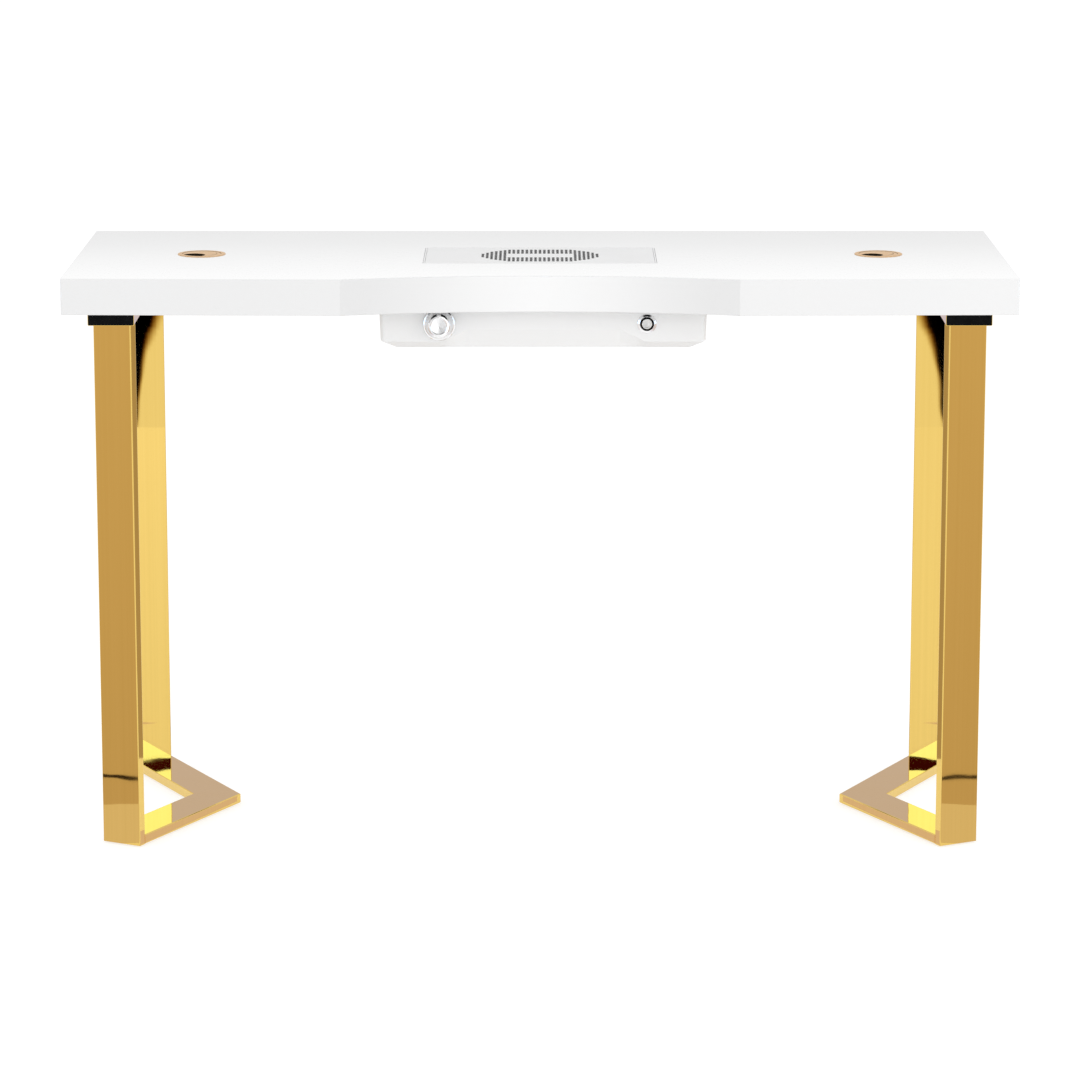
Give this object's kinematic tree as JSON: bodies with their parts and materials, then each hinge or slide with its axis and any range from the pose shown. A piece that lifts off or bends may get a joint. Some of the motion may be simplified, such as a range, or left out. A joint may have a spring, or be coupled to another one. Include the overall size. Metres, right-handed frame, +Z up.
{
  "type": "manicure table",
  "caption": "Manicure table with a concave-front white top, flat-tube gold V-base side frames, cable grommets and a built-in nail dust collector with knob and button.",
  "frame": {"origin": "centre of the footprint on the floor: middle of the box, level with the underside of the glides", "axes": "+Z up, +X along the width to the right as the client sees it, +Y away from the client towards the technician"},
  "size_m": [1.2, 0.467, 0.7408],
  "materials": {
    "white_lacquer": "gloss",
    "gold_mirror": "polished",
    "grommet_gold": "gloss",
    "black_plastic": "satin",
    "panel_white": "satin",
    "housing_white": "satin",
    "filter_card": "matte",
    "filter_fleece": "matte",
    "seal_foam": "matte",
    "zinc_steel": "satin",
    "brass_insert": "satin",
    "bearing_steel": "polished",
    "chrome_bright": "polished",
    "button_steel": "satin",
    "button_black": "gloss",
    "fan_black": "matte",
    "rotor_steel": "satin",
    "stator_copper": "satin",
    "board_green": "satin",
    "board_black": "satin",
    "lead_sleeve": "matte"
  },
  "bodies": {
    "table": {"board_parts": "board_black", "board_screws": "zinc_steel", "board_standoffs": "brass_insert", "button_bezel": "chrome_bright", "button_nut": "zinc_steel", "button_ring": "button_black", "button_spring": "bearing_steel", "collector_frame": "panel_white", "collector_housing": "housing_white", "control_board": "board_green", "deck_screws": "zinc_steel", "duct_seal": "seal_foam", "fan_deck": "zinc_steel", "frame_inserts": "brass_insert", "frame_screws": "zinc_steel", "housing_screws": "zinc_steel", "left_bar_plugs": "black_plastic", "left_front_arm": "gold_mirror", "left_front_leg": "gold_mirror", "left_glides": "black_plastic", "left_grommet_sleeve": "grommet_gold", "left_rear_arm": "gold_mirror", "left_rear_leg": "gold_mirror", "left_top_bar": "gold_mirror", "motor_base": "zinc_steel", "motor_bearings": "bearing_steel", "motor_lead": "lead_sleeve", "motor_screws": "zinc_steel", "motor_stator": "stator_copper", "potentiometer": "fan_black", "potentiometer_nut": "zinc_steel", "power_lead": "lead_sleeve", "power_socket": "fan_black", "right_bar_plugs": "black_plastic", "right_front_arm": "gold_mirror", "right_front_leg": "gold_mirror", "right_glides": "black_plastic", "right_grommet_sleeve": "grommet_gold", "right_rear_arm": "gold_mirror", "right_rear_leg": "gold_mirror", "right_top_bar": "gold_mirror", "socket_nut": "zinc_steel", "speed_lead": "lead_sleeve", "switch_body": "fan_black", "switch_lead": "lead_sleeve", "tabletop": "white_lacquer"},
    "speed_knob": {"speed_knob": "chrome_bright", "knob_shaft": "bearing_steel", "knob_set_screw": "zinc_steel"},
    "button": {"button_cap": "button_steel"},
    "left_cap": {"left_grommet_cap": "grommet_gold"},
    "right_cap": {"right_grommet_cap": "grommet_gold"},
    "filter": {"filter_frame": "filter_card", "filter_media": "filter_fleece"},
    "grille": {"grille_plate": "panel_white"},
    "fan_rotor": {"fan_impeller": "fan_black", "motor_rotor": "rotor_steel", "motor_shaft": "bearing_steel"}
  },
  "joints": [
    {"name": "speed_knob_turn", "type": "hinge", "parent": "table", "child": "speed_knob", "pos_m": [-0.128, -0.1465, 0.6706], "axis": [0, 1, 0], "range_deg": [0, 280]},
    {"name": "power_button_press", "type": "slide", "parent": "table", "child": "button", "axis": [0, 1, 0], "range_m": [0, 0.002], "stiffness_N_per_m": 900, "springref_m": -0.001, "deforming": ["button_spring"]},
    {"name": "left_cap_turn", "type": "hinge", "parent": "table", "child": "left_cap", "pos_m": [-0.44, 0.0015, 0.74], "axis": [0, 0, 1], "continuous": true},
    {"name": "right_cap_turn", "type": "hinge", "parent": "table", "child": "right_cap", "pos_m": [0.44, 0.0015, 0.74], "axis": [0, 0, 1], "continuous": true},
    {"name": "filter_lift", "type": "slide", "parent": "table", "child": "filter", "axis": [0, 0, 1], "range_m": [0, 0.09]},
    {"name": "grille_lift", "type": "slide", "parent": "filter", "child": "grille", "axis": [0, 0, 1], "range_m": [0, 0.06]},
    {"name": "fan_spin", "type": "hinge", "parent": "table", "child": "fan_rotor", "pos_m": [0, -0.0125, 0.66], "axis": [0, 0, 1], "continuous": true}
  ]
}
